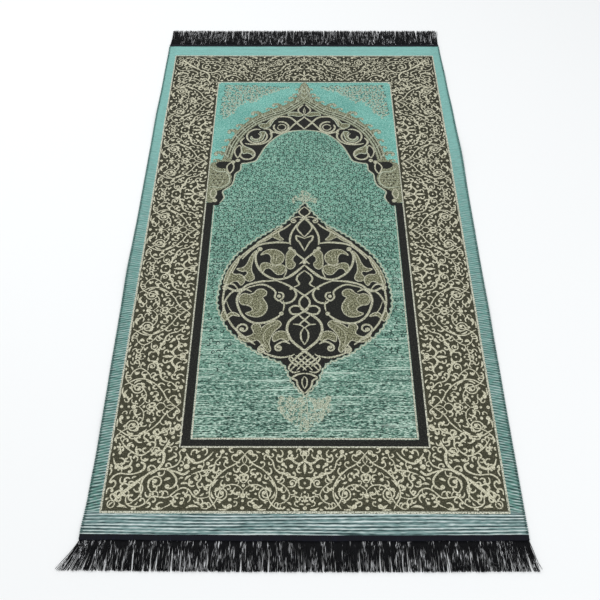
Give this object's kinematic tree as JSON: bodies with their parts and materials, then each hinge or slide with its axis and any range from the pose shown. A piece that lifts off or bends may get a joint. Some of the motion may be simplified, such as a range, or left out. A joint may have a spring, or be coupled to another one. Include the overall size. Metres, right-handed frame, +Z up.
{
  "type": "prayer rug",
  "caption": "Thin woven prayer rug lying flat, with an arched niche, a medallion, scrolled borders, and a dark fringe and heading tape at each end.",
  "frame": {"origin": "on the floor, under the middle of the whole rug with its fringes", "axes": "+Y along the rug towards the end that the arched niche points to, +X to the right as seen from the foot end, +Z up"},
  "size_m": [0.724, 1.3324, 0.005],
  "materials": {
    "teal_weave": "matt ribbed weave with a soft sheen, teal with beige and black pattern",
    "navy_tape": "matt woven tape with a stitched edge",
    "black_fringe": "slightly glossy loose yarn"
  },
  "bodies": {
    "root": {"rug_cloth": "teal_weave", "tape_near": "navy_tape", "tape_far": "navy_tape", "fringe_near": "black_fringe", "fringe_far": "black_fringe"}
  },
  "joints": []
}
